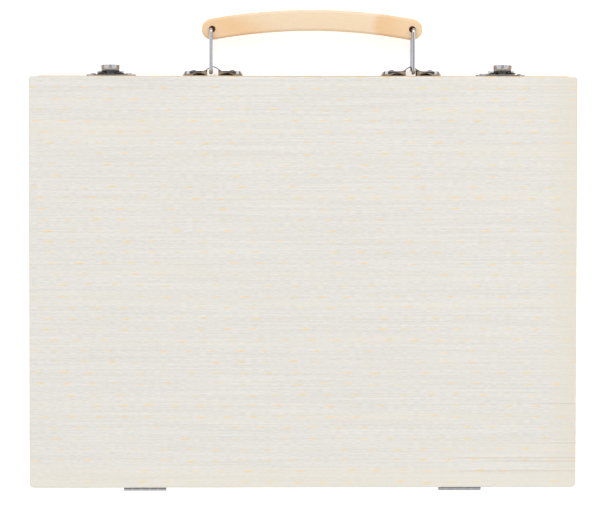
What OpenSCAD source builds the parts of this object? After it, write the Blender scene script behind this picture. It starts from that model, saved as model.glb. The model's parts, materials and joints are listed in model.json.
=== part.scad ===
// Wooden carrying case for brushes and paints.
// It lies flat on its base with the lid up, the handle side towards -Y and the hinge side towards +Y.
// The origin is at the centre of the base's plan, on its underside.

/* [Case] */
// Width of the case, left to right
case_w = 380; // [340:1:420]
// Depth of the case, from the handle side to the hinge side
case_d = 286; // [250:1:320]
// Height of the base half with its panel
base_h = 28; // [27:0.5:40]
// Height of the lid half with its panel
lid_h = 16.7; // [16.5:0.1:30]
// Open line between the base rim and the lid rim
parting = 0.3; // [0.2:0.1:0.6]
// Thickness of the rim rails
rail_t = 5.5; // [5:0.5:8]
// Thickness of the plywood panels
panel_t = 3; // [2.5:0.5:4]
// How far the front rails stand proud of the side rails' ends
rail_proud = 0.35; // [0.2:0.05:0.5]
// Corner radius in plan on the handle side
front_corner_r = 1.8; // [1:0.1:3]
// Corner radius in plan on the hinge side
back_corner_r = 3; // [1:0.1:4]
// Rounding of the panels' outer edges
edge_r = 1; // [0.5:0.1:1.5]

/* [Dividers] */
// Thickness of the dividers
divider_t = 4; // [3:0.5:5]
// Height of the dividers above the base panel
divider_h = 20; // [15:1:22]
// Distance of the long divider behind the middle of the case
long_divider_y = 46; // [30:1:60]
// Distance of each cross divider from the middle of the case
cross_divider_x = 56; // [50:0.5:80]
// Depth of the grooves that hold the dividers
dado = 1.5; // [1:0.25:2]

/* [Latches] */
// Distance between the two latches
latch_spacing = 272; // [260:1:300]
// Sideways offset of the pair of latches
latch_offset = -2.25; // [-5:0.05:5]
// Width of the base plate with its two ears
latch_plate_w = 35; // [33:0.5:38]
// Width of the catch plate on the lid
catch_plate_w = 29; // [28:0.5:33]
// Width of the domed arm at its hinge
latch_arm_w = 19; // [18:0.5:20]
// Width of the arm at its tip
latch_tip_w = 12; // [11.5:0.5:14]
// Width of the finger lip
lip_w = 10; // [9:0.5:11]

/* [Handle] */
// Sideways offset of the handle
handle_offset = -6.5; // [-8:0.1:8]
// Height of the handle's middle plane above the underside
handle_z = 14; // [13.5:0.5:18]
// Distance between the holes in the grip
grip_hole_spacing = 139.5; // [130:0.5:150]
// Rise of the grip's middle line above its holes
grip_rise = 6.3; // [4:0.1:9]
// Height of the grip across its arch
grip_h = 14.8; // [13:0.1:16]
// Thickness of the grip
grip_t = 18; // [16:0.5:18]
// Rounding of the grip's long edges
grip_edge_r = 2; // [1:0.25:3]
// Diameter of the holes in the grip
grip_hole_d = 4.5; // [4.2:0.1:5]
// Diameter of the bail wire
wire_d = 2.5; // [2:0.1:2.6]
// Length of a bail from its bar to its turned-in ends
bail_l = 30.1; // [29:0.1:34]
// Length of a pressed handle plate
handle_plate_w = 42; // [40:0.5:46]

/* [Hinges] */
// Distance of each hinge from the middle of the case
hinge_x = 110; // [60:1:140]
// Length of a hinge
hinge_w = 30; // [25:1:40]
// Height of a hinge leaf from the pin to its edge
hinge_leaf_h = 11; // [10:0.5:13]

/* [Hidden] */
$fn = 48;

// Sides: the case is seen from the handle side
left = -1;
right = 1;

// How far a cutting shape runs past what it cuts
over = 1;

// Wood joints
glue = 0.05;
tongue_l = 2.2;
tongue_t = 2.7;
rail_chamfer = 0.5;
panel_setback = 0.6;

// Heights of the rims
base_rim_z = panel_t;
base_rim_h = base_h - panel_t;
lid_z = base_h + parting;
lid_rim_h = lid_h - panel_t;

// Screws: head, shank and the pilot hole in the wood
head_r = 1.9;
head_h = 1.1;
shank_r = 0.95;
pilot_r = 1;
pilot_gap = 0.3;
clear_r = 1.2;
bite = 3.8;
slot_w = 0.5;
slot_l = 1.3 * head_r;
slot_depth = 0.5;

// Latch, in the frame of each latch: outwards from the wood, and up from the base's upper edge
sheet = 0.8;
plate_t = 0.9;
latch_axis_out = 1.9;
latch_axis_up = -2.6;
latch_knuckle_r = 1.6;
latch_pin_r = 0.75;
latch_bore_r = 0.8;
arm_knuckle_w = 9.2;
knuckle_gap = 0.2;
plate_top = -4.8;
plate_bottom = -15.5;
ear_r = 4.3;
ear_up = -10.2;
latch_corner_r = 1.5;
knuckle_lap = 2;
arm_bottom = -0.5;
arm_top = 9.5;
crown_out = 3.9;
foot_out = 1.9;
arm_shoulder = 2;
neck_lap = 1;
window_w = 6.4;
window_bottom = 3.4;
window_top = 6.6;
window_corner_r = 0.8;
tongue_w = 5;
tongue_up = 5;
tongue_out = 4.9;
bead_r = 0.65;
tongue_half = 0.7 * bead_r;
lip_bend_r = 2.2;
lip_out = 7.6;
lip_lap = 0.5;
lip_root = 1.5;
lip_corner_r = 2;
catch_bottom = 1.4;
catch_top = 11;
catch_corner_r = 3;
catch_screw_x = 11.6;
catch_screw_up = 7.6;

// Handle
plate_v = 9.2;
wing_out = 3.3;
wing_corner_r = 3;
bell_rise = 3.3;
bell_half = 7.5;
bell_steps = 24;
arch_open = 3.9;
pan_back = 5;
plate_corner_r = 6;
handle_screw_x = 13.5;
handle_screw_v = 5;
bar_out = 2.1;
wire_play = 0.85;
bar_play = 1.3;
wire_drop = 0.2;
leg_v = 10.75;
bend_r = 2;
end_l = 6;
hole_chamfer = 0.5;
scallop_r = 7;
scallop_x = 9.7;
scallop_rise = 1.9;

// Hinges
leaf_t = 0.9;
hinge_axis_out = 2.1;
hinge_knuckle_r = 2;
hinge_pin_r = 1;
hinge_bore_r = 1.05;
knuckles = 5;
leaf_corner_r = 1.5;
leaf_gap = 0.3;
leaf_lap = 1;
hinge_screw_x = 10;
hinge_screw_v = 6.8;

// Derived places
inner_x = case_w / 2 - rail_t;
inner_y = case_d / 2 - rail_t;
hinge_z = base_h + parting / 2;
arm_r = (pow(latch_arm_w / 2, 2) + pow(crown_out - foot_out, 2)) / (2 * (crown_out - foot_out));
hole_out = bar_out + bail_l + wire_drop;
grip_r = (pow(grip_hole_spacing / 2, 2) + pow(grip_rise, 2)) / (2 * grip_rise);
bail_x = grip_hole_spacing / 2 + wire_play;
handle_plate_x = bail_x - bar_play;

// Frames. Inside one: x along the case, -y outwards from the wood, z up
module on_latch(side) translate([latch_offset + side * latch_spacing / 2, -case_d / 2, base_h]) children();
module on_handle(x) translate([handle_offset + x, -case_d / 2, handle_z]) children();
module on_hinge(side) translate([side * hinge_x, case_d / 2, hinge_z]) mirror([0, 1, 0]) children();

// A section drawn as (along, up), thickened outwards
module facing(t) rotate([90, 0, 0]) linear_extrude(t) children();
// A section drawn as (along, outwards), centred in height
module upright(h) mirror([0, 1, 0]) linear_extrude(h, center = true) children();
// A section drawn as (outwards, up), centred along the case
module across(w) rotate([90, 0, -90]) linear_extrude(w, center = true) children();

// What a square corner loses when it is rounded; the corner is at the origin, the material at +x +y
module corner_waste(r) {
    difference() {
        translate([-over, -over]) square(r + over);
        translate([r, r]) circle(r);
    }
}

// A rectangle with rounded corners, from its lower left corner
module rounded_rect(w, h, r) {
    difference() {
        square([w, h]);
        corner_waste(r);
        translate([w, 0]) mirror([1, 0]) corner_waste(r);
        translate([0, h]) mirror([0, 1]) corner_waste(r);
        translate([w, h]) mirror([1, 0]) mirror([0, 1]) corner_waste(r);
    }
}

// The case's outline in plan, from the given front edge to the back
module plan(front) {
    difference() {
        translate([-case_w / 2, front]) square([case_w, case_d / 2 - front]);
        translate([-case_w / 2, front]) corner_waste(front_corner_r);
        translate([case_w / 2, front]) mirror([1, 0]) corner_waste(front_corner_r);
        translate([-case_w / 2, case_d / 2]) mirror([0, 1]) corner_waste(back_corner_r);
        translate([case_w / 2, case_d / 2]) mirror([1, 0]) mirror([0, 1]) corner_waste(back_corner_r);
    }
}

// A panel's section with its two upper edges rounded
module eased_section(low, high) {
    difference() {
        translate([low, 0]) square([high - low, panel_t]);
        translate([low, panel_t]) mirror([0, 1]) corner_waste(edge_r);
        translate([high, panel_t]) mirror([1, 0]) mirror([0, 1]) corner_waste(edge_r);
    }
}

// A plywood panel, its outer face up, with eased edges all round
module eased_panel() {
    front = -case_d / 2 + panel_setback;
    intersection() {
        linear_extrude(panel_t) plan(front);
        rotate([90, 0, 0]) linear_extrude(2 * case_d, center = true) eased_section(-case_w / 2, case_w / 2);
        rotate([90, 0, 90]) linear_extrude(2 * case_w, center = true) eased_section(front, case_d / 2);
    }
}

// A side rail in plan, with the grooves for the end rails' tongues
module side_rail_plan(side) {
    difference() {
        intersection() {
            plan(-case_d / 2 + rail_proud);
            translate([side * (inner_x + rail_t / 2) - rail_t / 2, -case_d]) square([rail_t, 2 * case_d]);
        }
        for (end = [-1, 1])
            translate([side * inner_x, end * (inner_y + tongue_t / 2)])
                square([2 * (tongue_l + glue), tongue_t + 2 * glue], center = true);
    }
}

// A front or back rail in plan: chamfered at its outer ends, with a tongue at each end
module end_rail_plan(end) {
    half = inner_x - glue;
    mirror([0, end < 0 ? 1 : 0]) {
        polygon([
            [-half, inner_y],
            [half, inner_y],
            [half, case_d / 2 - rail_chamfer],
            [half - rail_chamfer, case_d / 2],
            [rail_chamfer - half, case_d / 2],
            [-half, case_d / 2 - rail_chamfer]
        ]);
        translate([-inner_x - tongue_l, inner_y]) square([2 * (inner_x + tongue_l), tongue_t]);
    }
}

// Pilot holes in a front rail for screws at (along, up from the rail's own frame)
module pilots(points) {
    for (p = points)
        translate([p[0], 0, p[1]]) rotate([-90, 0, 0])
            translate([0, 0, -over]) cylinder(r = pilot_r, h = bite + pilot_gap + over);
}

// A hole for a screw through a plate of the given height, at (along, up)
module screw_hole(x, up, t) {
    translate([x, over, up]) rotate([90, 0, 0]) cylinder(r = clear_r, h = t + 2 * over);
}

// The screws' places: across the latches, the catches, the handle plates and the hinge leaves
latch_screw_points = [for (side = [left, right], s = [-1, 1])
    [latch_offset + side * latch_spacing / 2 + s * (latch_plate_w / 2 - ear_r), base_h + ear_up]];
catch_screw_points = [for (side = [left, right], s = [-1, 1])
    [latch_offset + side * latch_spacing / 2 + s * catch_screw_x, base_h + catch_screw_up]];
handle_screw_points = [for (side = [left, right], s = [-1, 1], v = [-1, 1])
    [handle_offset + side * handle_plate_x + s * handle_screw_x, handle_z + v * handle_screw_v]];
function hinge_screw_points(v) = [for (side = [left, right], s = [-1, 1])
    [side * hinge_x + s * hinge_screw_x, hinge_z + v * hinge_screw_v]];

// The rims
module side_rail(side, z, h) {
    translate([0, 0, z]) linear_extrude(h) side_rail_plan(side);
}

module end_rail(end, z, h) {
    translate([0, 0, z]) linear_extrude(h) end_rail_plan(end);
}

module divider_groove(x, y, w, d) {
    translate([x - w / 2, y - d / 2, base_rim_z - over]) cube([w, d, divider_h + over + glue]);
}

module base_side_rail(side) {
    color("BurlyWood")
    difference() {
        side_rail(side, base_rim_z, base_rim_h);
        divider_groove(side * inner_x, long_divider_y, 2 * dado, divider_t + 2 * glue);
    }
}

module base_panel() {
    color("Wheat") translate([0, 0, panel_t]) mirror([0, 0, 1]) eased_panel();
}

module base_front_rail() {
    color("BurlyWood")
    difference() {
        end_rail(-1, base_rim_z, base_rim_h);
        for (s = [-1, 1])
            divider_groove(s * cross_divider_x, -inner_y, divider_t + 2 * glue, 2 * dado);
        translate([0, -case_d / 2, 0]) pilots(concat(latch_screw_points, handle_screw_points));
    }
}

module base_back_rail() {
    color("BurlyWood")
    difference() {
        end_rail(1, base_rim_z, base_rim_h);
        translate([0, case_d / 2, 0]) mirror([0, 1, 0]) pilots(hinge_screw_points(-1));
    }
}

module lid_panel() {
    color("Wheat") translate([0, 0, lid_z + lid_rim_h]) eased_panel();
}

module lid_front_rail() {
    color("BurlyWood")
    difference() {
        end_rail(-1, lid_z, lid_rim_h);
        translate([0, -case_d / 2, 0]) pilots(catch_screw_points);
    }
}

module lid_back_rail() {
    color("BurlyWood")
    difference() {
        end_rail(1, lid_z, lid_rim_h);
        translate([0, case_d / 2, 0]) mirror([0, 1, 0]) pilots(hinge_screw_points(1));
    }
}

module lid_side_rail(side) {
    color("BurlyWood") side_rail(side, lid_z, lid_rim_h);
}

// The dividers
module long_divider() {
    half = inner_x + dado - glue;
    front = long_divider_y - divider_t / 2;
    color("Wheat")
    difference() {
        translate([-half, front, base_rim_z]) cube([2 * half, divider_t, divider_h]);
        for (s = [-1, 1])
            divider_groove(s * cross_divider_x, front, divider_t + 2 * glue, 2 * dado);
    }
}

module cross_divider(side) {
    front = -inner_y - dado + glue;
    back = long_divider_y - divider_t / 2 + dado - glue;
    color("Wheat")
    translate([side * cross_divider_x - divider_t / 2, front, base_rim_z])
        cube([divider_t, back - front, divider_h]);
}

// Screws, from the point where the head seats, pointing outwards
module dome_screw(seat) {
    dome_r = (head_r * head_r + head_h * head_h) / (2 * head_h);
    rotate([90, 0, 0]) {
        difference() {
            intersection() {
                translate([0, 0, seat + head_h - dome_r]) sphere(r = dome_r);
                translate([0, 0, seat]) cylinder(r = head_r, h = head_h);
            }
            for (a = [0, 90])
                rotate([0, 0, a]) translate([0, 0, seat + head_h])
                    cube([slot_l, slot_w, 2 * slot_depth], center = true);
        }
        translate([0, 0, -bite]) cylinder(r = shank_r, h = bite + seat);
    }
}

module countersunk_screw() {
    rotate([90, 0, 0])
    difference() {
        union() {
            cylinder(r1 = shank_r, r2 = head_r, h = leaf_t);
            translate([0, 0, -bite]) cylinder(r = shank_r, h = bite);
        }
        for (a = [0, 90])
            rotate([0, 0, a]) translate([0, 0, leaf_t])
                cube([slot_l, slot_w, 2 * slot_depth], center = true);
    }
}

module front_screws(points, seat) {
    color("Silver")
    for (p = points)
        translate([p[0], -case_d / 2, p[1]]) dome_screw(seat);
}

module hinge_screws(v) {
    color("Silver")
    for (p = hinge_screw_points(v))
        translate([p[0], case_d / 2, p[1]]) mirror([0, 1, 0]) countersunk_screw();
}

// Hinges. A leaf carries every second knuckle, from the given first one
module knuckle_ring(w, out, up, r, bore) {
    across(w)
    translate([out, up])
    difference() {
        circle(r);
        circle(bore);
    }
}

module hinge_leaf(side, v, first) {
    pitch = hinge_w / knuckles;
    color("Gainsboro")
    on_hinge(side) {
        difference() {
            facing(leaf_t)
                translate([-hinge_w / 2, v > 0 ? hinge_knuckle_r + leaf_gap : -hinge_leaf_h])
                    rounded_rect(hinge_w, hinge_leaf_h - hinge_knuckle_r - leaf_gap, leaf_corner_r);
            for (s = [-1, 1])
                translate([s * hinge_screw_x, 0, v * hinge_screw_v]) rotate([90, 0, 0])
                    cylinder(r1 = shank_r + glue, r2 = head_r + glue, h = leaf_t);
        }
        for (k = [first : 2 : knuckles - 1])
            translate([-hinge_w / 2 + (k + 0.5) * pitch, 0, 0]) {
                knuckle_ring(pitch - knuckle_gap, hinge_axis_out, 0, hinge_knuckle_r, hinge_bore_r);
                facing(leaf_t)
                    translate([knuckle_gap / 2 - pitch / 2, v > 0 ? 0 : -hinge_knuckle_r - leaf_lap])
                        square([pitch - knuckle_gap, hinge_knuckle_r + leaf_lap]);
            }
    }
}

module hinge_pin(side) {
    color("Silver")
    on_hinge(side) across(hinge_w) translate([hinge_axis_out, 0]) circle(hinge_pin_r);
}

// Latches
module latch_plate(side) {
    outer_w = (latch_arm_w - arm_knuckle_w) / 2 - knuckle_gap;
    outer_x = latch_arm_w / 2 - outer_w / 2;
    color("Gainsboro")
    on_latch(side) {
        difference() {
            facing(plate_t) {
                translate([-latch_arm_w / 2, plate_bottom])
                    rounded_rect(latch_arm_w, plate_top - plate_bottom, latch_corner_r);
                for (s = [-1, 1])
                    translate([s * (latch_plate_w / 2 - ear_r), ear_up]) circle(ear_r);
            }
            for (s = [-1, 1])
                screw_hole(s * (latch_plate_w / 2 - ear_r), ear_up, plate_t);
        }
        for (s = [-1, 1])
            translate([s * outer_x, 0, 0]) {
                knuckle_ring(outer_w, latch_axis_out, latch_axis_up, latch_knuckle_r, latch_bore_r);
                facing(plate_t)
                    translate([-outer_w / 2, plate_top - knuckle_lap])
                        square([outer_w, latch_axis_up - plate_top + knuckle_lap]);
            }
    }
}

module latch_pin(side) {
    color("Silver")
    on_latch(side) across(latch_arm_w) translate([latch_axis_out, latch_axis_up]) circle(latch_pin_r);
}

// The arm's outline seen from the front, narrowing to its tip
module arm_outline() {
    polygon([
        [-latch_arm_w / 2, arm_bottom],
        [latch_arm_w / 2, arm_bottom],
        [latch_arm_w / 2, arm_bottom + arm_shoulder],
        [latch_tip_w / 2, arm_top],
        [-latch_tip_w / 2, arm_top],
        [-latch_arm_w / 2, arm_bottom + arm_shoulder]
    ]);
}

// The finger lip's section: it leaves the crown, curls outwards and ends square to the wood
module lip_section() {
    bend_up = arm_top - lip_lap;
    bend_out = crown_out + lip_bend_r;
    intersection() {
        difference() {
            translate([bend_out, bend_up]) circle(lip_bend_r + sheet);
            translate([bend_out, bend_up]) circle(lip_bend_r);
        }
        translate([bend_out - lip_bend_r - sheet - over, bend_up]) square(lip_bend_r + sheet + over);
    }
    translate([bend_out, bend_up + lip_bend_r]) square([lip_out - bend_out, sheet]);
    translate([crown_out - sheet, bend_up - lip_root]) square([sheet, lip_root]);
}

module latch_arm(side) {
    color("Silver")
    on_latch(side) {
        // The middle knuckle and the neck that rises from it
        knuckle_ring(arm_knuckle_w, latch_axis_out, latch_axis_up, latch_knuckle_r, latch_bore_r);
        across(arm_knuckle_w)
            translate([latch_axis_out + latch_knuckle_r - sheet, latch_axis_up])
                square([sheet, arm_bottom + neck_lap - latch_axis_up]);
        // The domed arm with the window for the catch
        difference() {
            intersection() {
                upright(2 * (arm_top + over))
                    difference() {
                        translate([0, crown_out - arm_r]) circle(arm_r, $fn = 96);
                        translate([0, crown_out - arm_r]) circle(arm_r - sheet, $fn = 96);
                    }
                facing(crown_out + over) arm_outline();
            }
            facing(crown_out + over)
                translate([-window_w / 2, window_bottom])
                    rounded_rect(window_w, window_top - window_bottom, window_corner_r);
        }
        // The finger lip, with rounded outer corners
        intersection() {
            across(lip_w) lip_section();
            upright(4 * arm_top)
                translate([-lip_w / 2, 0]) rounded_rect(lip_w, lip_out, lip_corner_r);
        }
    }
}

module latch_catch(side) {
    color("Gainsboro")
    on_latch(side) {
        difference() {
            facing(plate_t)
                translate([-catch_plate_w / 2, catch_bottom])
                    rounded_rect(catch_plate_w, catch_top - catch_bottom, catch_corner_r);
            for (s = [-1, 1])
                screw_hole(s * catch_screw_x, catch_screw_up, plate_t);
        }
        // The tongue that reaches through the arm's window, with a bead along its tip
        across(tongue_w) {
            translate([plate_t / 2, tongue_up - tongue_half])
                square([tongue_out - bead_r - plate_t / 2, 2 * tongue_half]);
            translate([tongue_out - bead_r, tongue_up]) circle(bead_r);
        }
    }
}

// Handle plates: a pressed pan with a bell-shaped arch for the bail's bar.
// The section is drawn as (along, outwards), in from the outer face by the given amount
function bell_out(u, inset) = wing_out - inset + bell_rise * (1 + cos(180 * u / bell_half)) / 2;

module bell_section(inset) {
    half = handle_plate_w / 2 - inset;
    top = wing_out - inset;
    bell = [for (i = [0 : bell_steps])
        let (u = bell_half * (2 * i / bell_steps - 1)) [u, bell_out(u, inset)]];
    difference() {
        polygon(concat([[-half, -pan_back], [-half, top]], bell, [[half, top], [half, -pan_back]]));
        for (s = [-1, 1])
            translate([s * half, top]) mirror([s > 0 ? 1 : 0, 0]) mirror([0, 1])
                corner_waste(wing_corner_r - inset);
    }
}

module pan_solid(inset) {
    v = plate_v - inset;
    intersection() {
        upright(2 * v) bell_section(inset);
        translate([0, inset > 0 ? pan_back : 0, 0])
        facing(wing_out + bell_rise + 2 * pan_back)
            translate([inset - handle_plate_w / 2, -v])
                rounded_rect(handle_plate_w - 2 * inset, 2 * v, plate_corner_r - inset);
    }
}

module handle_plate(side) {
    color("Gainsboro")
    on_handle(side * handle_plate_x)
    difference() {
        pan_solid(0);
        pan_solid(sheet);
        // The arch runs out through both long edges
        upright(4 * plate_v)
            intersection() {
                bell_section(sheet);
                translate([-arch_open, -over - pan_back]) square([2 * arch_open, 4 * pan_back]);
            }
        // Each long edge is scalloped between the arch and its ends
        upright(4 * plate_v)
            for (s = [-1, 1])
                translate([s * scallop_x, scallop_rise - scallop_r]) circle(scallop_r);
        for (s = [-1, 1], v = [-1, 1])
            screw_hole(s * handle_screw_x, v * handle_screw_v, wing_out);
    }
}

// Bails: a wire bar under the plate's arch, two legs, and ends turned into the grip
module quarter_bend() {
    rotate_extrude(angle = 90) translate([bend_r, 0]) circle(wire_d / 2);
}

module bail(side) {
    top_out = bar_out + bail_l;
    bar_half = leg_v - bend_r;
    color("Silver")
    on_handle(side * bail_x) {
        translate([0, -bar_out, 0]) cylinder(d = wire_d, h = 2 * bar_half, center = true);
        for (v = [0, 1])
            mirror([0, 0, v]) {
                translate([0, -bar_out - bend_r, bar_half]) rotate([0, -90, 0]) quarter_bend();
                translate([0, -bar_out - bend_r, leg_v]) rotate([90, 0, 0])
                    cylinder(d = wire_d, h = bail_l - 2 * bend_r);
                translate([0, bend_r - top_out, bar_half]) rotate([0, -90, 0]) rotate([0, 0, -90])
                    quarter_bend();
                translate([0, -top_out, bar_half - end_l]) cylinder(d = wire_d, h = end_l);
            }
    }
}

// The grip: an arched bar with rounded edges, a half-round nose at each end and a hole through each nose
module grip_outline(inset) {
    half = grip_h / 2 - inset;
    centre = hole_out + grip_rise - grip_r;
    intersection() {
        translate([0, centre])
        difference() {
            circle(grip_r + half, $fn = 420);
            circle(grip_r - half, $fn = 420);
        }
        polygon([
            [0, centre],
            [grip_hole_spacing, 2 * hole_out - centre],
            [-grip_hole_spacing, 2 * hole_out - centre]
        ]);
    }
    for (s = [-1, 1])
        translate([s * grip_hole_spacing / 2, hole_out]) circle(half, $fn = 40);
}

module handle_grip() {
    color("Tan")
    on_handle(0)
    difference() {
        minkowski() {
            upright(grip_t - 2 * grip_edge_r) grip_outline(grip_edge_r);
            sphere(r = grip_edge_r, $fn = 16);
        }
        for (s = [-1, 1])
            translate([s * grip_hole_spacing / 2, -hole_out, 0]) {
                cylinder(d = grip_hole_d, h = 2 * grip_t, center = true);
                for (v = [0, 1])
                    mirror([0, 0, v]) translate([0, 0, grip_t / 2 - hole_chamfer])
                        cylinder(d1 = grip_hole_d, d2 = grip_hole_d + 4 * hole_chamfer, h = 2 * hole_chamfer);
            }
    }
}

base_panel();
base_front_rail();
base_back_rail();
base_side_rail(left);  // base_left_rail
base_side_rail(right);  // base_right_rail
long_divider();
cross_divider(left);  // left_cross_divider
cross_divider(right);  // right_cross_divider
lid_panel();
lid_front_rail();
lid_back_rail();
lid_side_rail(left);  // lid_left_rail
lid_side_rail(right);  // lid_right_rail
hinge_leaf(left, -1, 0);  // left_hinge_base_leaf
hinge_leaf(left, 1, 1);  // left_hinge_lid_leaf
hinge_pin(left);  // left_hinge_pin
hinge_leaf(right, -1, 0);  // right_hinge_base_leaf
hinge_leaf(right, 1, 1);  // right_hinge_lid_leaf
hinge_pin(right);  // right_hinge_pin
hinge_screws(-1);  // base_hinge_screws
hinge_screws(1);  // lid_hinge_screws
latch_plate(left);  // left_latch_plate
latch_pin(left);  // left_latch_pin
latch_arm(left);  // left_latch_arm
latch_catch(left);  // left_latch_catch
latch_plate(right);  // right_latch_plate
latch_pin(right);  // right_latch_pin
latch_arm(right);  // right_latch_arm
latch_catch(right);  // right_latch_catch
front_screws(latch_screw_points, plate_t);  // latch_plate_screws
front_screws(catch_screw_points, plate_t);  // latch_catch_screws
handle_plate(left);  // left_handle_plate
handle_plate(right);  // right_handle_plate
front_screws(handle_screw_points, wing_out);  // handle_plate_screws
bail(left);  // left_bail
bail(right);  // right_bail
handle_grip();
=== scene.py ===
# %% [markdown]
# A flat wooden carrying case for brushes and paints lies on a pale table with its lid up.
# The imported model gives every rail, panel, hinge and latch at its real size, so this lesson only dresses it:
# bare wood, bright nickel, and the few pieces whose curves are worth modelling again by hand.

# %% Load the fixed frame
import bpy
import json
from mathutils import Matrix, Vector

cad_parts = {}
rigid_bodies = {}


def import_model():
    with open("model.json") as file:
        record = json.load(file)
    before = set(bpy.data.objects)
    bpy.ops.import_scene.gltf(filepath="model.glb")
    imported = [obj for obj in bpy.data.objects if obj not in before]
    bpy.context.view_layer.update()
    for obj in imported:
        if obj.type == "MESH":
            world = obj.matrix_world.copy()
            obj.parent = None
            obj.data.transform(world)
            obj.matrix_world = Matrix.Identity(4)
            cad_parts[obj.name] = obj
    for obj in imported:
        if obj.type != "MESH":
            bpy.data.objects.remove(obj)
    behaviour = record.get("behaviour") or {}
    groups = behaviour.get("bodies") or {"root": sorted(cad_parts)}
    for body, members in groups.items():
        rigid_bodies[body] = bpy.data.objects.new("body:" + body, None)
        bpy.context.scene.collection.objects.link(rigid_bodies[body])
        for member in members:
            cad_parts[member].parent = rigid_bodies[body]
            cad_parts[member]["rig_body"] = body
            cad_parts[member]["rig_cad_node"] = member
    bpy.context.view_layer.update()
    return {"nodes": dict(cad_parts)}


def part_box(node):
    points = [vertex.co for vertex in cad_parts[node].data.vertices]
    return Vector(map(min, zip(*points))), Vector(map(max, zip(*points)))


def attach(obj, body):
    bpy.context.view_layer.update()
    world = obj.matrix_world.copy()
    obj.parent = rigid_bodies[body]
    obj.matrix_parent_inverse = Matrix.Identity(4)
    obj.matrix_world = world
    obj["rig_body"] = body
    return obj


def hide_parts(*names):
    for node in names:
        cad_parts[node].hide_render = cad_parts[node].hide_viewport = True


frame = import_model()

import json
import math

import bpy
from mathutils import Matrix, Vector

MM = 0.001
nodes = frame["nodes"]
print("pieces in the frame:", len(nodes))

# %% [markdown]
# The camera looks straight down on the lid, with the handle side at the top of the picture. A long lens from
# far away keeps the case nearly square-on. It leans three degrees towards the handle, so that the front edge
# just shows, as a thin warm line above the panel.

# %% Camera
aim = Vector((2.48, -12.66, 45)) * MM
lean_to_handle = math.radians(2.943)
lean_to_right = math.radians(1.681)
roll = math.radians(0.089)
camera_distance = 2.5
lens_mm = 216.4

lean = Vector((math.sin(lean_to_right), -math.sin(lean_to_handle), 0))
toward_camera = lean + Vector((0, 0, math.sqrt(1 - lean.length_squared)))
level = Vector((0, -1, 0)).cross(toward_camera).normalized()
rise = toward_camera.cross(level)
camera_x = level * math.cos(roll) + rise * math.sin(roll)
camera_y = rise * math.cos(roll) - level * math.sin(roll)

bpy.ops.object.camera_add()
camera = bpy.context.object
camera.name = "camera"
camera.data.lens = lens_mm
camera.data.sensor_width = 36
camera.data.clip_end = 20
standing_at = aim + camera_distance * toward_camera
axes = Matrix((camera_x, camera_y, toward_camera)).transposed()
camera.matrix_world = Matrix.Translation(standing_at) @ axes.to_4x4()
bpy.context.scene.camera = camera
print("camera at", [round(v, 3) for v in camera.matrix_world.translation])

# %% [markdown]
# A material is a tree of nodes. By hand each node is added and wired with the mouse. The small helpers below
# place a node, join its inputs and open a group, so that each finish reads like a recipe and not like wiring.

# %% Node helpers
def put(tree, kind, inputs=None, **settings):
    node = tree.nodes.new("ShaderNode" + kind)
    for name, value in settings.items():
        setattr(node, name, value)
    for name, value in (inputs or {}).items():
        if isinstance(value, bpy.types.NodeSocket):
            tree.links.new(value, node.inputs[name])
        else:
            node.inputs[name].default_value = value
    return node


def calc(tree, operation, *values):
    return put(tree, "Math", dict(enumerate(values)), operation=operation).outputs[0]


def step_between(tree, value, low, high):
    inputs = {"Value": value, "From Min": low, "From Max": high}
    return put(tree, "MapRange", inputs, interpolation_type="SMOOTHSTEP").outputs[0]


def blend_colour(tree, amount, first, second):
    # A Mix node keeps its two colour inputs at 6 and 7, and its colour result at 2
    node = put(tree, "Mix", {0: amount}, data_type="RGBA")
    for place, colour in ((6, first), (7, second)):
        if isinstance(colour, bpy.types.NodeSocket):
            tree.links.new(colour, node.inputs[place])
        else:
            node.inputs[place].default_value = (*colour, 1)
    return node.outputs[2]


def noise(tree, vector, scale, detail=3, rough=0.55):
    inputs = {"Vector": vector, "Scale": scale, "Detail": detail, "Roughness": rough}
    return put(tree, "TexNoise", inputs).outputs["Fac"]


def stretched(tree, vector, scale, turn=0):
    inputs = {"Vector": vector, "Scale": scale, "Rotation": (0, 0, turn)}
    return put(tree, "Mapping", inputs).outputs[0]


def new_group(name, takes, gives):
    group = bpy.data.node_groups.new(name, "ShaderNodeTree")
    for socket, value in takes.items():
        kind = "NodeSocketVector" if value is None else "NodeSocketFloat"
        made = group.interface.new_socket(socket, in_out="INPUT", socket_type=kind)
        if value is not None:
            made.default_value = value
    for socket in gives:
        group.interface.new_socket(socket, in_out="OUTPUT", socket_type="NodeSocketFloat")
    start = group.nodes.new("NodeGroupInput")
    end = group.nodes.new("NodeGroupOutput")
    return group, start.outputs, end.inputs


def use_group(tree, group, inputs):
    return put(tree, "Group", inputs, node_tree=group).outputs


def new_material(name, **shader_values):
    material = bpy.data.materials.new(name)
    material.use_nodes = True
    tree = material.node_tree
    tree.nodes.clear()
    shader = put(tree, "BsdfPrincipled", {k.replace("_", " "): v for k, v in shader_values.items()})
    put(tree, "OutputMaterial", {"Surface": shader.outputs[0]})
    place = put(tree, "TexCoord").outputs["Object"]
    return material, tree, shader, place


def feed(tree, shader, colour=None, roughness=None, height=None, depth=0.0001):
    if colour is not None:
        tree.links.new(colour, shader.inputs["Base Color"])
    if roughness is not None:
        tree.links.new(roughness, shader.inputs["Roughness"])
    if height is not None:
        bump = put(tree, "Bump", {"Height": height, "Strength": 1, "Distance": depth})
        tree.links.new(bump.outputs[0], shader.inputs["Normal"])


# %% [markdown]
# All the woods share one grain. Long thin fibres are noise that is squeezed across the grain, weak broad
# bands are the growth rings, and short dark pores are a finer noise of which only the peaks are kept.
# The pattern reads Object coordinates, so it stays on the piece when the piece moves.

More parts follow.
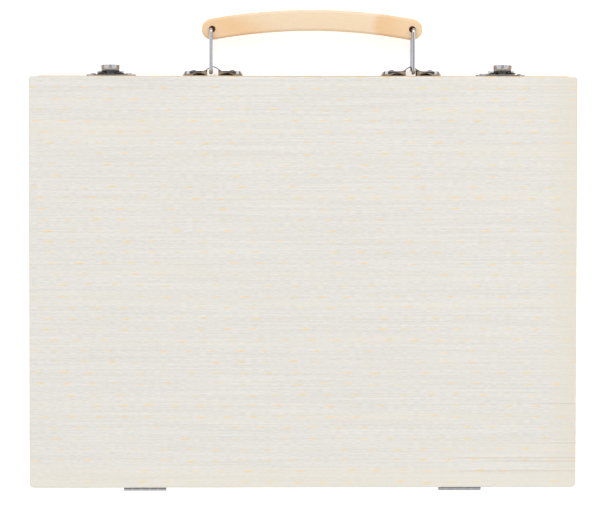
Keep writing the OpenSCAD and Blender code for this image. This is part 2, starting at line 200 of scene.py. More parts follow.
# %% Shared wood grain
grain_group, given, gives = new_group(
    "wood_grain", {"Vector": None, "Fibre Length": 6.0, "Fibre Width": 0.9},
    ["Fibres", "Bands", "Streaks", "Pores"])
tree = grain_group
millimetres = put(tree, "VectorMath", {0: given["Vector"], "Scale": 1000}, operation="SCALE").outputs[0]
along = calc(tree, "DIVIDE", 1, given["Fibre Length"])
across = calc(tree, "DIVIDE", 1, given["Fibre Width"])
squeeze = put(tree, "CombineXYZ", {0: along, 1: across, 2: across}).outputs[0]
fibre_place = put(tree, "VectorMath", {0: millimetres, 1: squeeze}, operation="MULTIPLY").outputs[0]
tree.links.new(noise(tree, fibre_place, 1.0, 4, 0.6), gives["Fibres"])
band_place = stretched(tree, millimetres, (0.003, 0.11, 0.11))
tree.links.new(noise(tree, band_place, 1.0, 2, 0.5), gives["Bands"])
streak_place = stretched(tree, millimetres, (0.012, 0.85, 0.85))
tree.links.new(noise(tree, streak_place, 1.0, 3, 0.6), gives["Streaks"])
pore_place = stretched(tree, millimetres, (0.35, 3.2, 3.2))
tree.links.new(step_between(tree, noise(tree, pore_place, 1.0, 1, 0.5), 0.62, 0.72), gives["Pores"])
print("wood_grain gives", [s.name for s in gives if s.name])

# %% [markdown]
# The face veneer has rows of short warm flecks, where the wood's rays come to the surface. They are nearly
# regular, so the pattern is a grid: each cell holds one slanted dash, moved a little and made fainter
# or left out by a random number that belongs to the cell.

# %% Shared fleck rows
row_pitch = 7.6
dash_pitch = 17.9
row_stagger = 2.2
dash_half_length = 4.4
dash_half_width = 0.56
dash_rise = 0.05

fleck_group, given, gives = new_group(
    "fleck_rows", {"Vector": None, "Row Pitch": row_pitch, "Dash Pitch": dash_pitch, "Stagger": row_stagger},
    ["Flecks"])
tree = fleck_group
millimetres = put(tree, "VectorMath", {0: given["Vector"], "Scale": 1000}, operation="SCALE").outputs[0]
drift = calc(tree, "MULTIPLY", noise(tree, stretched(tree, millimetres, (0.012, 0.03, 0)), 1.0, 1), 3.0)
parts = put(tree, "SeparateXYZ", {0: millimetres}).outputs
row_place = calc(tree, "DIVIDE", calc(tree, "ADD", parts[1], drift), given["Row Pitch"])
row = calc(tree, "FLOOR", row_place)
row_noise = put(tree, "TexWhiteNoise", {"W": row}, noise_dimensions="1D").outputs["Value"]
shift = calc(tree, "MULTIPLY", row, given["Stagger"])
shift = calc(tree, "MULTIPLY_ADD", row_noise, 5.0, shift)
dash_place = calc(tree, "DIVIDE", calc(tree, "ADD", parts[0], shift), given["Dash Pitch"])
cell = calc(tree, "FLOOR", dash_place)
cell_id = put(tree, "CombineXYZ", {0: cell, 1: row, 2: 0}).outputs[0]
luck = put(tree, "TexWhiteNoise", {"Vector": cell_id}, noise_dimensions="3D").outputs
luck_parts = put(tree, "SeparateColor", {0: luck["Color"]}).outputs
u = calc(tree, "SUBTRACT", calc(tree, "SUBTRACT", dash_place, cell), 0.5)
u = calc(tree, "MULTIPLY", u, given["Dash Pitch"])
u = calc(tree, "ADD", u, calc(tree, "MULTIPLY_ADD", luck_parts[0], 3.0, -1.5))
v = calc(tree, "SUBTRACT", calc(tree, "SUBTRACT", row_place, row), 0.5)
v = calc(tree, "MULTIPLY", v, given["Row Pitch"])
v = calc(tree, "ADD", v, calc(tree, "MULTIPLY_ADD", luck_parts[1], 0.8, -0.4))
v = calc(tree, "SUBTRACT", v, calc(tree, "MULTIPLY", u, dash_rise))
reach = put(tree, "CombineXYZ", {
    0: calc(tree, "DIVIDE", u, dash_half_length),
    1: calc(tree, "DIVIDE", v, dash_half_width),
    2: 0,
}).outputs[0]
distance = put(tree, "VectorMath", {0: reach}, operation="LENGTH").outputs["Value"]
dash = calc(tree, "SUBTRACT", 1, step_between(tree, distance, 0.1, 1.1))
strength = calc(tree, "MULTIPLY_ADD", luck["Value"], 0.85, 0.15)
broken = step_between(tree, noise(tree, stretched(tree, millimetres, (0.8, 3.0, 1)), 1.0, 2), 0.2, 0.5)
fleck = calc(tree, "MULTIPLY", calc(tree, "MULTIPLY", dash, strength), broken)
tree.links.new(fleck, gives["Flecks"])
print("fleck_rows: one dash every", dash_pitch, "mm, one row every", row_pitch, "mm")

# %% [markdown]
# Polished nickel is a mirror with a little life in it: roughness that wanders, and hairline scratches from
# handling. The same group serves wire, pressed sheet and screws, each with its own amount.

# %% Shared polish
polish_group, given, gives = new_group(
    "handled_polish", {"Vector": None, "Roughness": 0.08, "Wear": 0.1}, ["Roughness", "Height"])
tree = polish_group
cloudy = noise(tree, given["Vector"], 260.0, 3)
hairs = noise(tree, stretched(tree, given["Vector"], (3000, 260, 900), 0.6), 1.0, 2)
worn = calc(tree, "MULTIPLY", calc(tree, "ADD", cloudy, calc(tree, "MULTIPLY", hairs, 0.5)), given["Wear"])
tree.links.new(calc(tree, "ADD", given["Roughness"], worn), gives["Roughness"])
tree.links.new(calc(tree, "MULTIPLY_ADD", cloudy, 0.7, calc(tree, "MULTIPLY", hairs, 0.3)), gives["Height"])
print("handled_polish gives", [s.name for s in gives if s.name])

# %% [markdown]
# Plywood shows three things: a pale veneer with fine grain and flecks on the face, a browner core in the
# middle of the edge, and a few thin rusty lines near the corner of the lid where the veneer opened.
# The face and the core could be two materials on chosen faces. Here one material tells them apart by their
# height inside the sheet, so the rounded edge changes smoothly from one to the other.

# %% Plywood
veneer = (0.742, 0.724, 0.680)
veneer_grey = (0.615, 0.602, 0.560)
veneer_warm = (0.735, 0.690, 0.590)
veneer_tan = (0.690, 0.635, 0.530)
fleck_colour = (0.860, 0.585, 0.160)
line_colour = (0.470, 0.330, 0.230)
core_colour = (0.500, 0.345, 0.200)
panel_t = 3.0
case_half_w = 190
# Where the tan of the right edge and the warmth of the back edge start, and where they are full, in metres
right_edge_band = (-0.165, -0.190)
back_edge_band = (0.118, 0.143)
# Each line: how far behind the middle of the case it lies, and how far it runs in from the right edge
rusty_lines = [(84.4, 42), (112.2, 60), (122.6, 100), (124.7, 70), (131.6, 104)]


def plywood(name, underside):
    material, tree, shader, place = new_material(name, Roughness=0.62, Specular_IOR_Level=0.35)
    grain = use_group(tree, grain_group, {"Vector": place, "Fibre Length": 4.5, "Fibre Width": 0.6})
    tone = calc(tree, "MULTIPLY_ADD", grain["Streaks"], 0.4, calc(tree, "MULTIPLY", grain["Fibres"], 0.6))
    colour = blend_colour(tree, step_between(tree, tone, 0.33, 0.67), veneer_grey, veneer)
    warm = calc(tree, "MULTIPLY", step_between(tree, grain["Bands"], 0.45, 0.8), 0.4)
    colour = blend_colour(tree, warm, colour, veneer_warm)
    parts = put(tree, "SeparateXYZ", {0: place}).outputs
    right_edge = step_between(tree, parts[0], *right_edge_band)
    back_edge = step_between(tree, parts[1], *back_edge_band)
    colour = blend_colour(tree, calc(tree, "MULTIPLY", right_edge, 0.6), colour, veneer_tan)
    colour = blend_colour(tree, calc(tree, "MULTIPLY", back_edge, 0.45), colour, veneer_warm)
    flecks = use_group(tree, fleck_group, {"Vector": place})["Flecks"]
    colour = blend_colour(tree, flecks, colour, fleck_colour)
    pores = calc(tree, "MULTIPLY", grain["Pores"], 0.12)
    colour = blend_colour(tree, pores, colour, line_colour)
    wander = calc(tree, "MULTIPLY_ADD", grain["Bands"], 0.0012, -0.0006)
    for behind, length in rusty_lines:
        off = calc(tree, "ABSOLUTE", calc(tree, "ADD", calc(tree, "SUBTRACT", parts[1], behind * MM), wander))
        thin = calc(tree, "SUBTRACT", 1, step_between(tree, off, 0.0001, 0.0005))
        start = (length - case_half_w) * MM
        fade = calc(tree, "SUBTRACT", 1, step_between(tree, parts[0], start - 0.03, start))
        line = calc(tree, "MULTIPLY", calc(tree, "MULTIPLY", thin, fade), 0.3)
        colour = blend_colour(tree, line, colour, line_colour)
    into_sheet = calc(tree, "ABSOLUTE", calc(tree, "SUBTRACT", parts[2], (underside + panel_t / 2) * MM))
    core = calc(tree, "SUBTRACT", 1, step_between(tree, into_sheet, 0.0005, 0.0007))
    colour = blend_colour(tree, core, colour, core_colour)
    feed(tree, shader, colour, None, grain["Fibres"], 0.00008)
    return material


base_ply = plywood("base_plywood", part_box("base_panel")[0].z / MM)
lid_ply = plywood("lid_plywood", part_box("lid_panel")[0].z / MM)
print("plywood for both panels, with", len(rusty_lines), "rusty lines")

# %% [markdown]
# The rims and dividers are plain pale softwood, a little more orange than the veneer. Their grain runs
# along the rail. Turning each rail's coordinates by hand would be slow, so the same recipe is made once for
# rails that run left to right, and once with its grain turned by a quarter.

# %% Solid wood
rim_light = (0.700, 0.540, 0.360)
rim_dark = (0.580, 0.410, 0.245)
divider_light = (0.720, 0.640, 0.500)
divider_dark = (0.620, 0.520, 0.370)


def solid_wood(name, light, dark, turn=0):
    material, tree, shader, place = new_material(name, Roughness=0.55, Specular_IOR_Level=0.4)
    lie = stretched(tree, place, (1, 1, 1), turn)
    grain = use_group(tree, grain_group, {"Vector": lie, "Fibre Length": 14.0, "Fibre Width": 0.8})
    tone = calc(tree, "MULTIPLY_ADD", grain["Bands"], 0.7, calc(tree, "MULTIPLY", grain["Fibres"], 0.3))
    colour = blend_colour(tree, step_between(tree, tone, 0.35, 0.68), light, dark)
    colour = blend_colour(tree, calc(tree, "MULTIPLY", grain["Pores"], 0.2), colour, line_colour)
    rough = calc(tree, "MULTIPLY_ADD", grain["Fibres"], 0.15, 0.48)
    feed(tree, shader, colour, rough, grain["Fibres"], 0.0001)
    return material


quarter = math.pi / 2
rim_across = solid_wood("rim_wood_left_to_right", rim_light, rim_dark)
rim_along = solid_wood("rim_wood_front_to_back", rim_light, rim_dark, quarter)
divider_across = solid_wood("divider_wood_left_to_right", divider_light, divider_dark)
divider_along = solid_wood("divider_wood_front_to_back", divider_light, divider_dark, quarter)
print("rim and divider wood, each with its grain both ways")

# %% [markdown]
# The grip is a harder, oiled wood: honey near both ends, paler in the middle and at the noses, with a slanted
# change of tone where the saw cut across the rings, and a satin shine from hands. The change of tone could be
# painted on the mesh, but steps along the length keep it sharp at any distance. The left one is slanted and
# slow, and the right one is quick and bulges towards the middle.

# %% Grip wood
grip_middle = (0.790, 0.630, 0.445)
grip_end = (0.770, 0.500, 0.265)
handle_x = -6.5
left_tone_x = handle_x + 44
right_tone_x = handle_x - 42
# The slant of the left tone, and the bulge of the right one about the middle of the grip's height
tone_slant = 1.3
tone_slant_y = -0.175
tone_bulge = 60
tone_bulge_y = -0.1775
left_tone = left_tone_x * MM + tone_slant * tone_slant_y
right_tone = right_tone_x * MM

grip_material, tree, shader, place = new_material("oiled_grip_wood", Roughness=0.36, Coat_Weight=0.12)
grain = use_group(tree, grain_group, {"Vector": place, "Fibre Length": 9.0, "Fibre Width": 0.55})
parts = put(tree, "SeparateXYZ", {0: place}).outputs
slant = calc(tree, "MULTIPLY", parts[1], tone_slant)
slant = calc(tree, "MULTIPLY_ADD", grain["Bands"], 0.02, slant)
slanted_x = calc(tree, "ADD", parts[0], slant)
left_end = step_between(tree, slanted_x, left_tone - 0.018, left_tone + 0.022)
left_nose = step_between(tree, slanted_x, left_tone + 0.016, left_tone + 0.040)
off_middle = calc(tree, "SUBTRACT", parts[1], tone_bulge_y)
bulge = calc(tree, "MULTIPLY_ADD", calc(tree, "MULTIPLY", off_middle, off_middle), tone_bulge, parts[0])
bulge = calc(tree, "MULTIPLY_ADD", grain["Bands"], 0.012, bulge)
right_end = step_between(tree, bulge, right_tone + 0.008, right_tone + 0.001)
right_nose = step_between(tree, parts[0], right_tone - 0.006, right_tone - 0.026)
left_warmth = calc(tree, "MULTIPLY", left_end, calc(tree, "MULTIPLY_ADD", left_nose, -0.35, 1.0))
right_warmth = calc(tree, "MULTIPLY", right_end, calc(tree, "MULTIPLY_ADD", right_nose, -0.45, 1.0))
figure = calc(tree, "MULTIPLY_ADD", grain["Streaks"], 0.5, 0.65)
warmth = calc(tree, "MULTIPLY", calc(tree, "MAXIMUM", left_warmth, right_warmth), figure)
colour = blend_colour(tree, warmth, grip_middle, grip_end)
colour = blend_colour(tree, calc(tree, "MULTIPLY", grain["Pores"], 0.22), colour, line_colour)
fibre_tone = calc(tree, "MULTIPLY", step_between(tree, grain["Fibres"], 0.4, 0.75), 0.3)
colour = blend_colour(tree, fibre_tone, colour, grip_end)
rough = calc(tree, "MULTIPLY_ADD", grain["Fibres"], 0.2, 0.26)
feed(tree, shader, colour, rough, grain["Pores"], 0.00004)
print("grip wood changes tone near", left_tone_x, "and", right_tone_x, "mm")

# %% [markdown]
# All the fittings are nickel-plated steel and differ only in tone and polish. So one recipe makes the wire,
# the sheet and the screws, each with its own tint, roughness and wear.

# %% Nickel
def nickel(name, tint, rough, wear):
    material, tree, shader, place = new_material(name, Metallic=1.0, Base_Color=(*tint, 1))
    polish = use_group(tree, polish_group, {"Vector": place, "Roughness": rough, "Wear": wear})
    tone = noise(tree, place, 420.0, 2)
    dull_tint = tuple(0.72 * v for v in tint)
    colour = blend_colour(tree, calc(tree, "MULTIPLY", tone, 0.3), tint, dull_tint)
    feed(tree, shader, colour, polish["Roughness"], polish["Height"], 0.000004)
    return material


plate_nickel = nickel("plate_nickel", (0.46, 0.46, 0.48), 0.05, 0.06)
wire_nickel = nickel("wire_nickel", (0.56, 0.57, 0.61), 0.06, 0.05)
screw_nickel = nickel("screw_nickel", (0.36, 0.36, 0.39), 0.10, 0.12)
print("finishes:", [m.name for m in bpy.data.materials])

# %% [markdown]
# Most CAD pieces already have the right shape, but their edges are mathematically sharp and catch no light.
# So each is copied, its loose triangles are merged, flat faces are made whole, and its edges are eased by
# a few tenths of a millimetre. The copy then stands in for the CAD piece.

# %% Helpers for pieces
weld = 0.000002


def only(piece):
    for other in list(bpy.context.selected_objects):
        other.select_set(False)
    piece.select_set(True)
    bpy.context.view_layer.objects.active = piece


def apply_modifier(piece, kind, **settings):
    only(piece)
    modifier = piece.modifiers.new(kind.lower(), kind)
    for name, value in settings.items():
        setattr(modifier, name, value)
    bpy.ops.object.modifier_apply(modifier=modifier.name)


def finish_piece(piece, node, material, smooth_angle=32):
    only(piece)
    bpy.ops.object.shade_smooth_by_angle(angle=math.radians(smooth_angle))
    piece.data.materials.clear()
    piece.data.materials.append(material)
    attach(piece, nodes[node]["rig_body"])
    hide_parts(node)
    away = piece.matrix_world.translation.length / MM
    print(piece.name, "has", len(piece.data.polygons), "faces and sits", round(away, 3), "mm from the origin")


def clear_parent(piece):
    piece.parent = None


def eased_copy(node, material, ease, segments=2):
    piece = nodes[node].copy()
    piece.data = nodes[node].data.copy()
    piece.name = node + "_finished"
    clear_parent(piece)
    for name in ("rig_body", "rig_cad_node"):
        if name in piece:
            del piece[name]
    bpy.context.scene.collection.objects.link(piece)
    only(piece)
    bpy.ops.object.mode_set(mode="EDIT")
    bpy.ops.mesh.select_all(action="SELECT")
    bpy.ops.mesh.remove_doubles(threshold=weld)
    bpy.ops.mesh.dissolve_limited(angle_limit=math.radians(0.8))
    bpy.ops.object.mode_set(mode="OBJECT")
    apply_modifier(piece, "BEVEL", width=ease * MM, segments=segments, limit_method="ANGLE",
                   angle_limit=math.radians(40), use_clamp_overlap=False)
    finish_piece(piece, node, material)
    return piece


# %% [markdown]
# The rails and dividers are sawn wood whose edges were broken with sandpaper. That is a third of a millimetre
# here. It could be bump in the material, but a real bevel also catches the light in the silhouette.

# %% Wooden pieces
wood_ease = 0.35
for half in ("base", "lid"):
    for side in ("front", "back"):
        eased_copy(f"{half}_{side}_rail", rim_across, wood_ease)
    for side in ("left", "right"):
        eased_copy(f"{half}_{side}_rail", rim_along, wood_ease)
eased_copy("long_divider", divider_across, wood_ease)
for side in ("left", "right"):
    eased_copy(f"{side}_cross_divider", divider_along, wood_ease)

# %% [markdown]
# The two panels are already eased in the model. A copy would add nothing, so they stay as they are and only
# get the plywood.

# %% Panels
for node, material in (("base_panel", base_ply), ("lid_panel", lid_ply)):
    nodes[node].data.materials.clear()
    nodes[node].data.materials.append(material)
    print(node, "wears", material.name)

# %% [markdown]
# Hinge leaves, latch plates and catches are stamped from sheet, so their edges are smaller than the wood's,
# and tight enough to show as one bright line. The pins take the same edge, and the small screws a finer one.

# %% Pressed metal, pins and screws
metal_ease = 0.14
screw_ease = 0.08
for side in ("left", "right"):
    for part in ("hinge_base_leaf", "hinge_lid_leaf", "latch_plate", "latch_catch"):
        eased_copy(f"{side}_{part}", plate_nickel, metal_ease, 3)
    for part in ("hinge_pin", "latch_pin"):
        eased_copy(f"{side}_{part}", screw_nickel, metal_ease)
for node in ("base_hinge_screws", "lid_hinge_screws", "latch_plate_screws", "latch_catch_screws",
             "handle_plate_screws"):
    eased_copy(node, screw_nickel, screw_ease)

# %% [markdown]
# A bail is a bent wire. It could be a curve with a round profile, but then its ends and bends are hard to
# control. By hand it is one circle that is pushed along its route: up the bar, round a quarter bend, out
# along the leg, round again and in towards the grip. That is half of it, and the rest is its mirror image.

# %% Bails
front_y = -143.0
handle_z = 14.0
bail_reach = 70.6
bar_out = 2.1
bail_l = 30.1
leg_v = 10.75
bend_r = 2.0
end_l = 6.0
end_rounding = 0.3
end_taper = 0.8
wire_r = 1.25
wire_sides = 24
bend_steps = 10


def push(x, y, z):
    bpy.ops.mesh.extrude_region_move(TRANSFORM_OT_translate={"value": (x * MM, y * MM, z * MM)})


def turn_about(axis, centre, degrees, steps):
    # Without a window a spin turns the other way, so its angle is given with the other sign
    bpy.ops.mesh.spin(steps=steps, angle=-math.radians(degrees), center=Vector(centre) * MM, axis=axis)


def bent_wire(name, x):
    top = handle_z + leg_v - bend_r
    bar_y = front_y - bar_out
    tip_y = bar_y - bail_l
    bpy.ops.object.select_all(action="DESELECT")
    bpy.ops.mesh.primitive_circle_add(vertices=wire_sides, radius=wire_r * MM,
                                      location=Vector((x, bar_y, handle_z)) * MM)
    wire = bpy.context.object
    wire.name = name
    bpy.ops.object.transform_apply(location=True, rotation=True, scale=True)
    bpy.ops.object.mode_set(mode="EDIT")
    bpy.ops.mesh.select_all(action="SELECT")
    push(0, 0, top - handle_z)
    turn_about((1, 0, 0), (x, bar_y - bend_r, top), 90, bend_steps)
    push(0, -(bail_l - 2 * bend_r), 0)
    turn_about((1, 0, 0), (x, tip_y + bend_r, top), 90, bend_steps)
    push(0, 0, end_rounding - end_l)
    push(0, 0, -end_rounding)
    bpy.ops.transform.resize(value=(end_taper, end_taper, 1))
    bpy.ops.mesh.edge_face_add()
    bpy.ops.object.mode_set(mode="OBJECT")
    return wire


def print_reach(piece):
    low = [min(v.co[i] for v in piece.data.vertices) / MM for i in range(3)]
    high = [max(v.co[i] for v in piece.data.vertices) / MM for i in range(3)]
    print(piece.name, "runs from", [round(v, 2) for v in low], "to", [round(v, 2) for v in high])


for side, sign in (("left", -1), ("right", 1)):
    wire = bent_wire(side + "_bail_wire", handle_x + sign * bail_reach)
    print_reach(wire)
    bpy.ops.object.empty_add(location=Vector((0, 0, handle_z)) * MM)
    middle = bpy.context.object
    apply_modifier(wire, "MIRROR", use_axis=(False, False, True), mirror_object=middle)
    bpy.data.objects.remove(middle)
    bpy.ops.object.mode_set(mode="EDIT")
    bpy.ops.mesh.select_all(action="SELECT")
    bpy.ops.mesh.remove_doubles(threshold=0.000005)
    bpy.ops.mesh.normals_make_consistent(inside=False)
    bpy.ops.object.mode_set(mode="OBJECT")
    finish_piece(wire, side + "_bail", wire_nickel, 50)

# %% [markdown]
# The handle plates are pressed pans with scalloped long edges. Only the upper edge, towards the lid, is open
# in its scallops. The lower one is closed, so that a look down into the pan ends in dark metal and not on the
# table. The two small walls are blocks with eased edges, joined to the plate's own copy.

# %% Handle plates
plate_half_height = 9.2
wall_t = 0.8
wall_middle = 9.7
wall_length = 10.4
wall_reach = 2.35
wall_ease = 0.12
wood_gap = 0.05


def low_wall(x):
    place = (x, front_y - (wall_reach + wood_gap) / 2, handle_z - plate_half_height + wall_t / 2)
    bpy.ops.object.select_all(action="DESELECT")
    bpy.ops.mesh.primitive_cube_add(size=1, location=Vector(place) * MM)
    wall = bpy.context.object
    wall.scale = (wall_length * MM, (wall_reach - wood_gap) * MM, wall_t * MM)
    bpy.ops.object.transform_apply(location=True, rotation=True, scale=True)
    apply_modifier(wall, "BEVEL", width=wall_ease * MM, segments=2)
    return wall


for side in ("left", "right"):
    low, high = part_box(side + "_handle_plate")
    x = (low.x + high.x) / 2 / MM
    plate = eased_copy(side + "_handle_plate", plate_nickel, metal_ease, 3)
    for sign in (-1, 1):
        wall = low_wall(x + sign * wall_middle)
        only(plate)
        wall.select_set(True)
        bpy.ops.object.join()
    print(plate.name, "now has", len(plate.data.polygons), "faces")

# %% [markdown]
# The grip is an arch that ends in two round noses. It could be cut from a block, but a flat sheet in its
# outline is cleaner: one edge is spun about the far centre of the arch, and half of it is spun on round each
# hole's centre. The sheet is then pulled to its thickness, and all its long edges are rounded at once.

# %% Grip outline
hole_half = 69.75
hole_out = 32.4
grip_rise = 6.3
grip_h = 14.8
grip_t = 18.0
grip_edge_r = 2.2
hole_r = 2.25
hole_depth = 6.8
hole_ease = 0.4
arch_steps = 64
nose_steps = 26
arch_r = (hole_half ** 2 + grip_rise ** 2) / (2 * grip_rise)
arch_y = front_y - hole_out - grip_rise + arch_r
arch_half_angle = math.degrees(math.asin(hole_half / arch_r))
hole_y = front_y - hole_out
grip_top = handle_z + grip_t / 2
arch_centre = (handle_x, arch_y, grip_top)


def edit(piece, choose):
    # Opens the piece with only the vertices selected that the rule chooses by their place in millimetres
    only(piece)
    bpy.ops.object.mode_set(mode="EDIT")
    bpy.ops.mesh.select_mode(type="VERT")
    bpy.ops.mesh.select_all(action="DESELECT")
    bpy.ops.object.mode_set(mode="OBJECT")
    for vertex in piece.data.vertices:
        vertex.select = choose(vertex.co / MM)
    bpy.ops.object.mode_set(mode="EDIT")


def done():
    bpy.ops.object.mode_set(mode="OBJECT")


bpy.ops.object.select_all(action="DESELECT")
bpy.ops.mesh.primitive_plane_add(size=grip_h * MM, location=(0, 0, 0))
grip = bpy.context.object
grip.name = "handle_grip_wood"
edit(grip, lambda co: co.x > 0)
bpy.ops.mesh.delete(type="VERT")
bpy.ops.mesh.select_all(action="SELECT")
bpy.ops.mesh.subdivide(number_cuts=1)
sideways = handle_x + grip_h / 2
bpy.ops.transform.translate(value=Vector((sideways, hole_y - grip_rise, grip_top)) * MM)
bpy.ops.transform.rotate(value=math.radians(arch_half_angle), orient_axis="Z",
                         center_override=Vector(arch_centre) * MM)
turn_about((0, 0, 1), arch_centre, 2 * arch_half_angle, arch_steps)
done()


def outer_end(sign):
    hole = Vector((handle_x + sign * hole_half, hole_y))

    def chosen(co):
        near = (co.xy - hole).length < grip_h / 2 + 0.1
        beyond = (co.xy - Vector(arch_centre[:2])).length > arch_r - 0.1
        turned = math.degrees(math.atan2(co.x - handle_x, arch_y - co.y))
        return near and beyond and abs(turned - sign * arch_half_angle) < 0.1
    return chosen


for sign in (-1, 1):
    edit(grip, outer_end(sign))
    turn_about((0, 0, 1), (handle_x + sign * hole_half, hole_y, grip_top), sign * 180, nose_steps)
    done()
edit(grip, lambda co: True)
bpy.ops.mesh.remove_doubles(threshold=0.00001)
bpy.ops.mesh.extrude_region_move(TRANSFORM_OT_translate={"value": (0, 0, -grip_t * MM)})
bpy.ops.mesh.select_all(action="SELECT")
bpy.ops.mesh.normals_make_consistent(inside=False)
done()
print_reach(grip)

# %% [markdown]
# Hands and wear rounded every long edge of the grip, so one wide bevel goes round it all at once. The wire
# ends sit in four blind holes, two from each face, which a short cylinder drills. A through hole would show
# the pale table behind it, where the real one is dark. Each rim then gets its own small chamfer.

# %% Grip edges and holes
def add_round(radius, depth, x, y, z):
    bpy.ops.object.select_all(action="DESELECT")
    bpy.ops.mesh.primitive_cylinder_add(vertices=48, radius=radius * MM, depth=depth * MM,
                                        location=Vector((x, y, z)) * MM)
    bpy.ops.object.transform_apply(location=True, rotation=True, scale=True)
    return bpy.context.object


apply_modifier(grip, "BEVEL", width=grip_edge_r * MM, segments=6, limit_method="ANGLE",
               angle_limit=math.radians(50), use_clamp_overlap=False)
for sign in (-1, 1):
    hole_x = handle_x + sign * hole_half
    for face in (-1, 1):
        drill = add_round(hole_r, 2 * hole_depth, hole_x, hole_y, handle_z + face * grip_t / 2)
        apply_modifier(grip, "BOOLEAN", operation="DIFFERENCE", object=drill, solver="EXACT")
        bpy.data.objects.remove(drill)


def on_hole_rim(co):
    from_hole = min(math.hypot(co.x - handle_x - sign * hole_half, co.y - hole_y) for sign in (-1, 1))
    return from_hole < hole_r + 0.05 and abs(abs(co.z - handle_z) - grip_t / 2) < 0.01


edit(grip, on_hole_rim)
bpy.ops.mesh.select_mode(type="EDGE")
bpy.ops.mesh.bevel(offset=hole_ease * MM, segments=3)
bpy.ops.mesh.select_all(action="SELECT")
bpy.ops.mesh.normals_make_consistent(inside=False)
done()
print_reach(grip)
finish_piece(grip, "handle_grip", grip_material, 28)

# %% [markdown]
# A latch arm is one piece of thin sheet: a dome across its width, a window for the catch, and a lip for the
# finger that flares up and has two pressed lobes. It could be carved from a block, but sheet is easier to
# bend while it has no thickness. So a flat grid is domed column by column, its window is taken out, the lip
# is spun and pushed off its upper edge, and only then does the sheet get its thickness. The knuckles round
# the pin already have the right shape, so they are cut from a copy of the CAD arm and joined on.

# %% Latch arms
base_top = 28.0
arm_half = 9.5
arm_bottom = -0.5
arm_top = 8.9
crown_out = 3.9
foot_out = 1.9
sheet = 0.8
window_half = 3.2
window_low = 3.3
window_high = 6.7
lip_bend = 1.7
lip_flare = 70
lip_length = 3.0
lip_columns = 5.9
lip_steps = 4
lobe_depth = 1.1
# How wide the dent between the lobes is, where their sides start to roll off, and how much deeper these go
dent_half = 1.0
lobe_end = 2.6
side_weight = 2.2
arm_ease = 0.16
knuckle_cut = 0.3
columns = 26
rows = 14
dome_r = (arm_half ** 2 + (crown_out - foot_out) ** 2) / (2 * (crown_out - foot_out))


def latch_place(side):
    low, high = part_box(side + "_latch_arm")
    return (low.x + high.x) / 2 / MM


def select_faces(piece, choose):
    edit(piece, lambda co: False)
    bpy.ops.mesh.select_mode(type="FACE")
    done()
    for face in piece.data.polygons:
        face.select = choose(face.center / MM)
    bpy.ops.object.mode_set(mode="EDIT")


def domed_sheet(name, x):
    bpy.ops.object.select_all(action="DESELECT")
    bpy.ops.mesh.primitive_grid_add(x_subdivisions=columns, y_subdivisions=rows, size=1, location=(0, 0, 0),
                                    rotation=(quarter, 0, 0))
    arm = bpy.context.object
    arm.name = name
    arm.scale = (2 * arm_half * MM, (arm_top - arm_bottom) * MM, 1)
    arm.location = Vector((x, front_y, base_top + (arm_top + arm_bottom) / 2)) * MM
    bpy.ops.object.transform_apply(location=True, rotation=True, scale=True)
    for column in range(columns + 1):
        off = arm_half * (2 * column / columns - 1)
        out = crown_out - dome_r + math.sqrt(dome_r ** 2 - off ** 2)
        edit(arm, lambda co: abs(co.x - x - off) < 0.05)
        bpy.ops.transform.translate(value=(0, -out * MM, 0))
        done()
    return arm


def add_lip(arm, x):
    top = base_top + arm_top
    edit(arm, lambda co: co.z > top - 0.01 and abs(co.x - x) < lip_columns)
    turn_about((1, 0, 0), (x, front_y - crown_out - lip_bend, top), lip_flare, 6)
    slope = math.radians(lip_flare)
    part = lip_length / lip_steps
    for _ in range(lip_steps):
        push(0, -part * math.sin(slope), part * math.cos(slope))
    done()
    edge = lip_columns - 0.4
    lip_offs = sorted({round(v.co.x / MM - x, 2) for v in arm.data.vertices if v.co.z / MM > top + 0.3})
    for off in lip_offs:
        dent = math.exp(-(off / dent_half) ** 2)
        roll_off = max(0, abs(off) - lobe_end) / (edge - lobe_end)
        sink = lobe_depth * (dent + side_weight * roll_off ** 2)
        # Three pushes, each on a higher part of the lip, bend it instead of shifting it as a whole
        for start in (0.5, 1.1 - sink * 0.5, 1.5 - sink * 0.5):
            edit(arm, lambda co: abs(co.x - x - off) < 0.05 and co.z > top + start)
            bpy.ops.transform.translate(value=(0, 0, -sink / 3 * MM))
            done()


def cut_window(arm, x):
    select_faces(arm, lambda co: abs(co.x - x) < window_half and window_low < co.z - base_top < window_high)
    bpy.ops.mesh.delete(type="FACE")
    done()


def face_outwards(arm):
    edit(arm, lambda co: True)
    bpy.ops.mesh.normals_make_consistent(inside=False)
    done()
    # A negative sum means that the dome already faces away from the wood
    facing = sum(face.normal.y for face in arm.data.polygons if face.center.z / MM < base_top + arm_top)
    if facing > 0:
        edit(arm, lambda co: True)
        bpy.ops.mesh.flip_normals()
        done()


def knuckles_only(node):
    knuckle = nodes[node].copy()
    knuckle.data = knuckle.data.copy()
    clear_parent(knuckle)
    bpy.context.scene.collection.objects.link(knuckle)
    edit(knuckle, lambda co: True)
    bpy.ops.mesh.remove_doubles(threshold=weld)
    bpy.ops.mesh.select_all(action="SELECT")
    bpy.ops.mesh.bisect(plane_co=Vector((0, 0, base_top + arm_bottom + knuckle_cut)) * MM, plane_no=(0, 0, 1),
                        clear_outer=True, use_fill=True)
    done()
    return knuckle


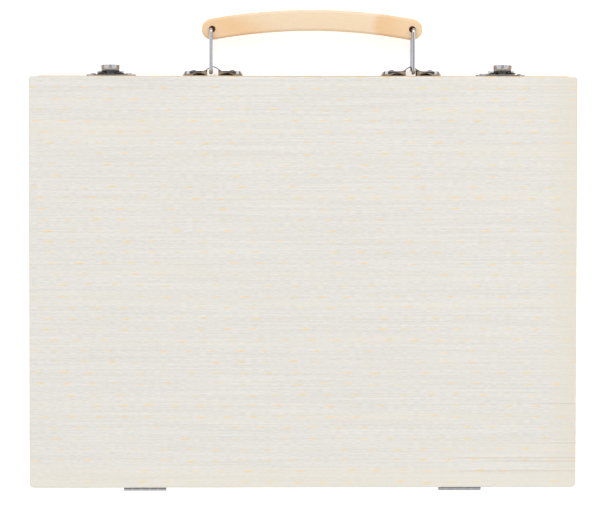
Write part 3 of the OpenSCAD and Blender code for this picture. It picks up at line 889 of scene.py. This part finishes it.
for side in ("left", "right"):
    x = latch_place(side)
    arm = domed_sheet(side + "_latch_arm_sheet", x)
    cut_window(arm, x)
    add_lip(arm, x)
    face_outwards(arm)
    apply_modifier(arm, "SOLIDIFY", thickness=sheet * MM, offset=-1, use_quality_normals=True)
    apply_modifier(arm, "BEVEL", width=arm_ease * MM, segments=2, limit_method="ANGLE",
                   angle_limit=math.radians(55), use_clamp_overlap=False)
    apply_modifier(arm, "SUBSURF", levels=1, render_levels=1)
    knuckle = knuckles_only(side + "_latch_arm")
    only(arm)
    knuckle.select_set(True)
    bpy.ops.object.join()
    print_reach(arm)
    finish_piece(arm, side + "_latch_arm", plate_nickel, 40)

# %% [markdown]
# The table is one wide pale sheet under the case. It glows very slightly, as a lit product table does,
# which keeps the ground white beside the case and leaves only a breath of shadow at its foot.

# %% Table
table_size = 8
table_drop = 0.0001
table_grey = (0.92, 0.92, 0.92, 1)
table_glow = 0.5

bpy.ops.object.select_all(action="DESELECT")
bpy.ops.mesh.primitive_plane_add(size=table_size, location=(0, 0, -table_drop))
table = bpy.context.object
table.name = "table"
table_material, tree, shader, place = new_material(
    "pale_table", Roughness=0.8, Base_Color=table_grey, Emission_Strength=table_glow)
shader.inputs["Emission Color"].default_value = (1, 1, 1, 1)
table.data.materials.append(table_material)
print("table of", table_size, "m laid under the case")

# %% [markdown]
# Bright metal shows the room and not itself, so the light is a bright dome with dark gaps in it: one
# straight above, where the camera stands, and one low down all round. The wood only feels the sum of it,
# and the nickel mirrors the gaps as dark lines. The side of the handle is a little brighter.

# %% Light
dome_strength = 1.52
# Heights on the unit sphere between which each dark gap ends, and how bright it stays inside
cap_edge = (0.94, 0.86)
gap_edge = (0.25, 0.45)
cap_glow = 0.1
gap_glow = 0.07
handle_side_lift = -0.3
backdrop_grey = (0.93, 0.93, 0.93, 1)
softbox_place = (-0.5, -1.1, 1.5)
softbox_size = 0.9
softbox_energy = 4.2

world = bpy.data.worlds.new("soft_dome")
bpy.context.scene.world = world
world.use_nodes = True
tree = world.node_tree
tree.nodes.clear()
direction = put(tree, "TexCoord").outputs["Generated"]
parts = put(tree, "SeparateXYZ", {0: direction}).outputs
height = calc(tree, "MAXIMUM", parts[2], 0)
ring = calc(tree, "MULTIPLY_ADD", step_between(tree, height, *cap_edge), 1 - cap_glow, cap_glow)
low_gap = calc(tree, "MULTIPLY_ADD", step_between(tree, height, *gap_edge), 1 - gap_glow, gap_glow)
dome = calc(tree, "MULTIPLY", ring, low_gap)
side_light = calc(tree, "MULTIPLY_ADD", parts[1], handle_side_lift, 1.0)
dome = calc(tree, "MULTIPLY", calc(tree, "MULTIPLY", dome, side_light), dome_strength)
seen = put(tree, "LightPath").outputs["Is Camera Ray"]
lit = put(tree, "Background", {"Color": (1, 1, 1, 1), "Strength": dome}).outputs[0]
plain = put(tree, "Background", {"Color": backdrop_grey, "Strength": 1.0}).outputs[0]
mixed = put(tree, "MixShader", {0: seen, 1: lit, 2: plain}).outputs[0]
put(tree, "OutputWorld", {"Surface": mixed})

bpy.ops.object.light_add(type="AREA", location=softbox_place)
key = bpy.context.object
key.name = "key_softbox"
key.data.shape = "SQUARE"
key.data.size = softbox_size
key.data.energy = softbox_energy
key.rotation_euler = Vector(key.location).to_track_quat("Z", "Y").to_euler()
bpy.context.scene.view_settings.view_transform = "Standard"
print("light: dome and", key.name)
